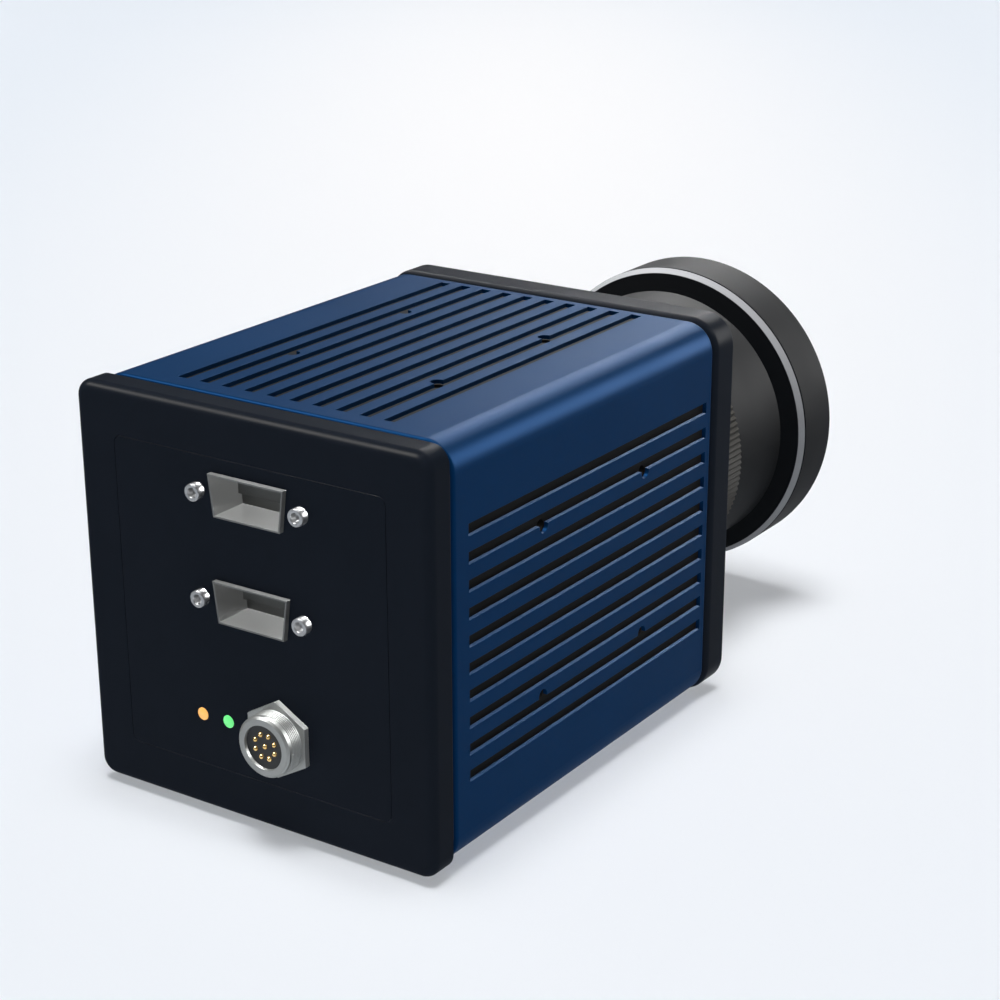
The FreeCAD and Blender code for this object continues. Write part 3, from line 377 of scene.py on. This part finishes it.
# %% Mix the metals
new_finish(
    "bare_aluminium", grain, tones=[(0.56, 0.57, 0.59), (0.64, 0.65, 0.67)], rough=(0.34, 0.42),
    bump=0.000006, edge=0.0002, Metallic=1.0)
new_finish(
    "steel", grain, tones=[(0.34, 0.345, 0.35), (0.41, 0.415, 0.42)], rough=(0.26, 0.32),
    bump=0.000002, edge=0.0002, Metallic=0.7)
new_finish(
    "plated_shell", grain, tones=[(0.30, 0.31, 0.30), (0.35, 0.36, 0.35)], rough=(0.28, 0.36),
    bump=0.000003, edge=0.0001, Metallic=0.5, Specular_IOR_Level=0.2)
# A rougher copy of the plating for the video shells, its colour darkened as painted shade for their hollows.
new_finish(
    "satin_and_shaded_shell", grain, tones=[(0.145, 0.148, 0.145), (0.172, 0.176, 0.172)], rough=(0.34, 0.42),
    bump=0.000003, edge=0.0001, Metallic=0.5, Specular_IOR_Level=0.2)
new_finish(
    "bronze", rings, tones=[(0.46, 0.32, 0.17), (0.54, 0.38, 0.22)], rough=(0.30, 0.38),
    bump=0.000004, edge=0.0002, Metallic=1.0)
new_finish(
    "gold", grain, tones=[(0.78, 0.52, 0.18), (0.86, 0.60, 0.25)], rough=(0.20, 0.27),
    bump=0.000002, edge=0.0001, Metallic=1.0)

# %% [markdown]
# Plastic, rubber and circuit boards are not metallic. Plastic keeps the fine texture of its mould, and
# rubber is rougher and duller.

# %% Mix the plastics
new_finish(
    "black_plastic", grain, tones=[(0.024, 0.026, 0.028), (0.032, 0.034, 0.036)], rough=(0.45, 0.55),
    bump=0.000006, edge=0.0001, Specular_IOR_Level=0.3)
new_finish(
    "grey_plastic", grain, tones=[(0.085, 0.088, 0.084), (0.100, 0.103, 0.098)], rough=(0.45, 0.55),
    bump=0.000006, edge=0.0001, Specular_IOR_Level=0.3)
new_finish(
    "rubber", grain, tones=[(0.010, 0.010, 0.012), (0.015, 0.015, 0.017)], rough=(0.75, 0.85),
    bump=0.000010, edge=0.0002, Specular_IOR_Level=0.2)
new_finish(
    "board_green", grain, tones=[(0.020, 0.110, 0.050), (0.032, 0.150, 0.075)], rough=(0.30, 0.42),
    bump=0.000006, edge=0.0001, Specular_IOR_Level=0.4)

# %% [markdown]
# An infrared lens is not clear to the eye: germanium looks like dark polished metal. A coating thinner than
# a wave of light keeps it from reflecting infrared, and it tints what the eye sees in it, so the shader's
# own thin film does the same here. The edge rounding is off, because the dome that shows has no edge.

# %% Mix the optic
new_finish(
    "coated_optic", rings, tones=[(0.060, 0.064, 0.075), (0.068, 0.072, 0.084)], rough=(0.05, 0.08),
    bump=0.0000005, edge=0.0, Metallic=0.8, Thin_Film_Thickness=420.0, Thin_Film_IOR=1.45)

# %% [markdown]
# Each status lamp is a domed light pipe of dyed plastic, lit from behind. A clear coat gives the dome its
# polish, and the plastic gives off some light in its own colour, so it stays bright on the black panel.

# %% Mix the lamps
def new_lamp(name, tones, glow):
    """A glowing plastic with a clear coat."""
    material = new_finish(
        name, grain, tones, rough=(0.20, 0.28), bump=0.000002, edge=0.0001, Coat_Weight=0.5)
    tree = material.node_tree
    shader = tree.nodes["Principled BSDF"]
    tint = shader.inputs["Base Color"].links[0].from_socket
    tree.links.new(tint, shader.inputs["Emission Color"])
    shader.inputs["Emission Strength"].default_value = glow


new_lamp("lamp_amber", tones=[(0.86, 0.42, 0.09), (0.96, 0.52, 0.14)], glow=0.6)
new_lamp("lamp_green", tones=[(0.12, 0.76, 0.19), (0.18, 0.88, 0.27)], glow=0.6)

# %% [markdown]
# The record names a slot for every solid, so each solid takes the finish of its slot. The video sockets
# differ a little from the rest: their shells take a rougher copy of the power socket's plating, darkened as
# painted shade for the hollows inside them, which the shadowless fill lamp lights, and their contact blocks
# are moulded in a paler plastic.

# %% Dress every solid
for subpart in frame["record"]["subparts"]:
    solid = nodes[subpart["node"]]
    solid.data.materials.clear()
    solid.data.materials.append(finishes[subpart["material_slot"]])
for level in ("upper", "lower"):
    nodes["video_insert_" + level].data.materials[0] = finishes["grey_plastic"]
    nodes["video_shell_" + level].data.materials[0] = finishes["satin_and_shaded_shell"]

# %% [markdown]
# A cable's collar screws onto the round power socket, and a tripod's screw goes into the base plate. CAD
# left both threads as plain cylinders of the right size. A thread is one small section carried round an
# axis and along it at the same time. Here the section starts as a plane nearly as wide as the pitch, its
# far edge is drawn in to make a wedge, and the Screw modifier winds the wedge about Z.

# %% Write the recipe for a thread
wedge_foot = 0.9
wedge_tip = 0.25
steps_in_a_turn = 64


def pick_points(piece, wanted):
    """Go to edit mode with only the points selected that pass a test of their place."""
    bpy.ops.object.mode_set(mode="EDIT")
    bpy.ops.mesh.select_mode(type="VERT")
    bpy.ops.mesh.select_all(action="DESELECT")
    bpy.ops.object.mode_set(mode="OBJECT")
    for point in piece.data.vertices:
        point.select = wanted(point.co)
    bpy.ops.object.mode_set(mode="EDIT")


def wind_thread(name, root, crest, pitch, turns):
    """A helical ridge about Z from a root radius to a crest radius, with closed ends."""
    bpy.ops.object.select_all(action="DESELECT")
    bpy.ops.mesh.primitive_plane_add(size=1, rotation=(math.pi / 2, 0, 0))
    ridge = bpy.context.object
    ridge.name = name
    bpy.ops.object.transform_apply(rotation=True)
    ridge.location.x = (root + crest) / 2
    ridge.scale = (abs(crest - root), 1, wedge_foot * pitch)
    bpy.ops.object.transform_apply(location=True, scale=True)
    pick_points(ridge, lambda place: abs(place.x - crest) < abs(place.x - root))
    bpy.ops.transform.resize(value=(1, 1, wedge_tip))
    bpy.ops.mesh.select_all(action="SELECT")
    bpy.ops.mesh.delete(type="ONLY_FACE")
    bpy.ops.object.mode_set(mode="OBJECT")
    wind = ridge.modifiers.new("wind", "SCREW")
    wind.axis = "Z"
    wind.screw_offset = pitch
    wind.iterations = turns
    wind.steps = steps_in_a_turn
    wind.render_steps = steps_in_a_turn
    bpy.ops.object.modifier_apply(modifier="wind")
    bpy.ops.object.mode_set(mode="EDIT")
    bpy.ops.mesh.select_all(action="SELECT")
    bpy.ops.mesh.fill_holes(sides=4)
    bpy.ops.mesh.select_all(action="SELECT")
    bpy.ops.mesh.normals_make_consistent(inside=False)
    bpy.ops.object.mode_set(mode="OBJECT")
    return ridge


# %% [markdown]
# The socket's thread is fine, as on a circular connector, and runs from the hexagon to just short of the
# mouth. Its foot is sunk a little into the barrel, so no gap shows. The winding is made upright and then
# laid along the socket, with its place written into the mesh.

# %% Wind the power socket's thread
socket_low, socket_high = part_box("power_socket_shell")
socket_middle = (socket_low + socket_high) / 2
socket_radius = 0.0071
socket_ridge = 0.00015
socket_pitch = 0.0005
socket_turns = 6
thread_from_mouth = 0.0013
sunk_foot = 0.00005

socket_thread = wind_thread(
    "power_socket_thread", socket_radius - sunk_foot, socket_radius + socket_ridge,
    socket_pitch, socket_turns)
socket_thread.rotation_euler.x = -math.pi / 2
socket_thread.location = (socket_middle.x, socket_low.y + thread_from_mouth, socket_middle.z)
bpy.ops.object.transform_apply(location=True, rotation=True)
socket_thread.data.materials.append(finishes["plated_shell"])
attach(socket_thread, "housing")
print(socket_thread.name, len(socket_thread.data.polygons), "faces")

# %% [markdown]
# The tripod's thread is coarse, twenty turns to the inch. Its ridge points inwards from the wall of the
# bore, so the crest radius is smaller than the root radius.

# %% Wind the tripod thread
plate_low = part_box("base_plate")[0]
tripod_radius = 0.003175
tripod_ridge = 0.0005
tripod_pitch = 0.00127
tripod_turns = 3

tripod_thread = wind_thread(
    "tripod_thread", tripod_radius + sunk_foot, tripod_radius - tripod_ridge, tripod_pitch, tripod_turns)
tripod_thread.location.z = plate_low.z + tripod_pitch / 2
bpy.ops.object.transform_apply(location=True)
tripod_thread.data.materials.append(finishes["black_anodised"])
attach(tripod_thread, "housing")
print(tripod_thread.name, len(tripod_thread.data.polygons), "faces")

# %% [markdown]
# A plug is held in each video socket by two screws, which go into threaded posts beside the shell. A post
# is a small turned piece: a round head with a bore, on a thinner shank through the panel. It starts as a
# cylinder, the bore and the shank are inset and extruded from its two ends, and a bevel breaks the rims so
# that they catch the light.

# %% Turn one screw post
posts_low, posts_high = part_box("jack_posts")
head_radius = 0.002
head_length = 0.0022
head_sides = 64
bore_radius = 0.0011
bore_depth = 0.0018
shank_radius = 0.0014
rim_bevel = 0.00025
same_place = 1e-6
sharp_angle = math.radians(30)

bpy.ops.object.select_all(action="DESELECT")
bpy.ops.mesh.primitive_cylinder_add(
    vertices=head_sides, radius=head_radius, depth=head_length, rotation=(math.pi / 2, 0, 0))
post = bpy.context.object
post.location.y = posts_low.y + head_length / 2
bpy.ops.object.transform_apply(location=True, rotation=True)
mouth = posts_low.y
foot = posts_low.y + head_length
pick_points(post, lambda place: abs(place.y - mouth) < same_place)
bpy.ops.mesh.inset(thickness=head_radius - bore_radius)
bpy.ops.mesh.extrude_region_move(TRANSFORM_OT_translate={"value": (0, bore_depth, 0)})
pick_points(post, lambda place: abs(place.y - foot) < same_place)
bpy.ops.mesh.inset(thickness=head_radius - shank_radius)
bpy.ops.mesh.extrude_region_move(TRANSFORM_OT_translate={"value": (0, posts_high.y - foot, 0)})
bpy.ops.object.mode_set(mode="OBJECT")
rims = post.modifiers.new("rims", "BEVEL")
rims.width = rim_bevel
rims.segments = 3
bpy.ops.object.modifier_apply(modifier="rims")
bpy.ops.object.shade_smooth_by_angle(angle=sharp_angle)
post.data.materials.append(finishes["steel"])
print("post", tuple(post.dimensions), len(post.data.polygons), "faces")

# %% [markdown]
# The four posts are alike, so the first is copied to each corner of their pattern. Every copy has its own
# mesh with its place in it, and together they stand in for the plain posts from CAD.

# %% Set the four posts
for side in (posts_low.x + head_radius, posts_high.x - head_radius):
    for level in (posts_low.z + head_radius, posts_high.z - head_radius):
        bpy.ops.object.select_all(action="DESELECT")
        post.select_set(True)
        bpy.context.view_layer.objects.active = post
        bpy.ops.object.duplicate()
        copy = bpy.context.object
        copy.name = "screw_post"
        copy.location = (side, 0, level)
        bpy.ops.object.transform_apply(location=True)
        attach(copy, "housing")
        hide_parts("jack_posts")
        print(copy.name, "at", round(side, 4), round(level, 4))
bpy.data.objects.remove(post)

# %% [markdown]
# The front optic is a thick round lens with a gently domed face. The triangles of the solid all run together
# at the middle of the dome, and a polished finish shows that as a speck. So the lens is made again in rings:
# a short cylinder has its front face inset ring by ring, and each ring is raised to the height that the
# dome's sphere has there.

# %% Grind the front optic
optic_low, optic_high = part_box("front_element")
optic_middle = (optic_low + optic_high) / 2
optic_radius = (optic_high.x - optic_low.x) / 2
optic_rim = 0.004
optic_sides = 128
optic_sag = optic_high.y - optic_low.y - optic_rim
dome_radius = (optic_radius ** 2 + optic_sag ** 2) / (2 * optic_sag)
dome_rings = 40
ring_width = optic_radius / dome_rings


def dome_height(radius):
    """Height of the dome above its rim, at a distance from the axis."""
    return math.sqrt(dome_radius ** 2 - radius ** 2) - (dome_radius - optic_sag)


bpy.ops.object.select_all(action="DESELECT")
bpy.ops.mesh.primitive_cylinder_add(
    vertices=optic_sides, radius=optic_radius, depth=optic_rim, rotation=(math.pi / 2, 0, 0))
optic = bpy.context.object
optic.name = "front_optic"
optic.location = (optic_middle.x, optic_low.y + optic_rim / 2, optic_middle.z)
bpy.ops.object.transform_apply(location=True, rotation=True)
rim_place = optic_low.y + optic_rim
pick_points(optic, lambda place: abs(place.y - rim_place) < same_place)
for ring in range(1, dome_rings):
    outer = optic_radius - (ring - 1) * ring_width
    rise = dome_height(outer - ring_width) - dome_height(outer)
    bpy.ops.mesh.inset(thickness=ring_width)
    bpy.ops.transform.translate(value=(0, rise, 0))
bpy.ops.object.mode_set(mode="OBJECT")
bpy.ops.object.shade_smooth_by_angle(angle=sharp_angle)
optic.data.materials.append(finishes["coated_optic"])
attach(optic, "lens_group")
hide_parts("front_element")
print(optic.name, tuple(optic.dimensions), len(optic.data.polygons), "faces")

# %% [markdown]
# Last, the colours are shown as they are, without a film look.

# %% Finish
bpy.context.scene.view_settings.view_transform = "Standard"
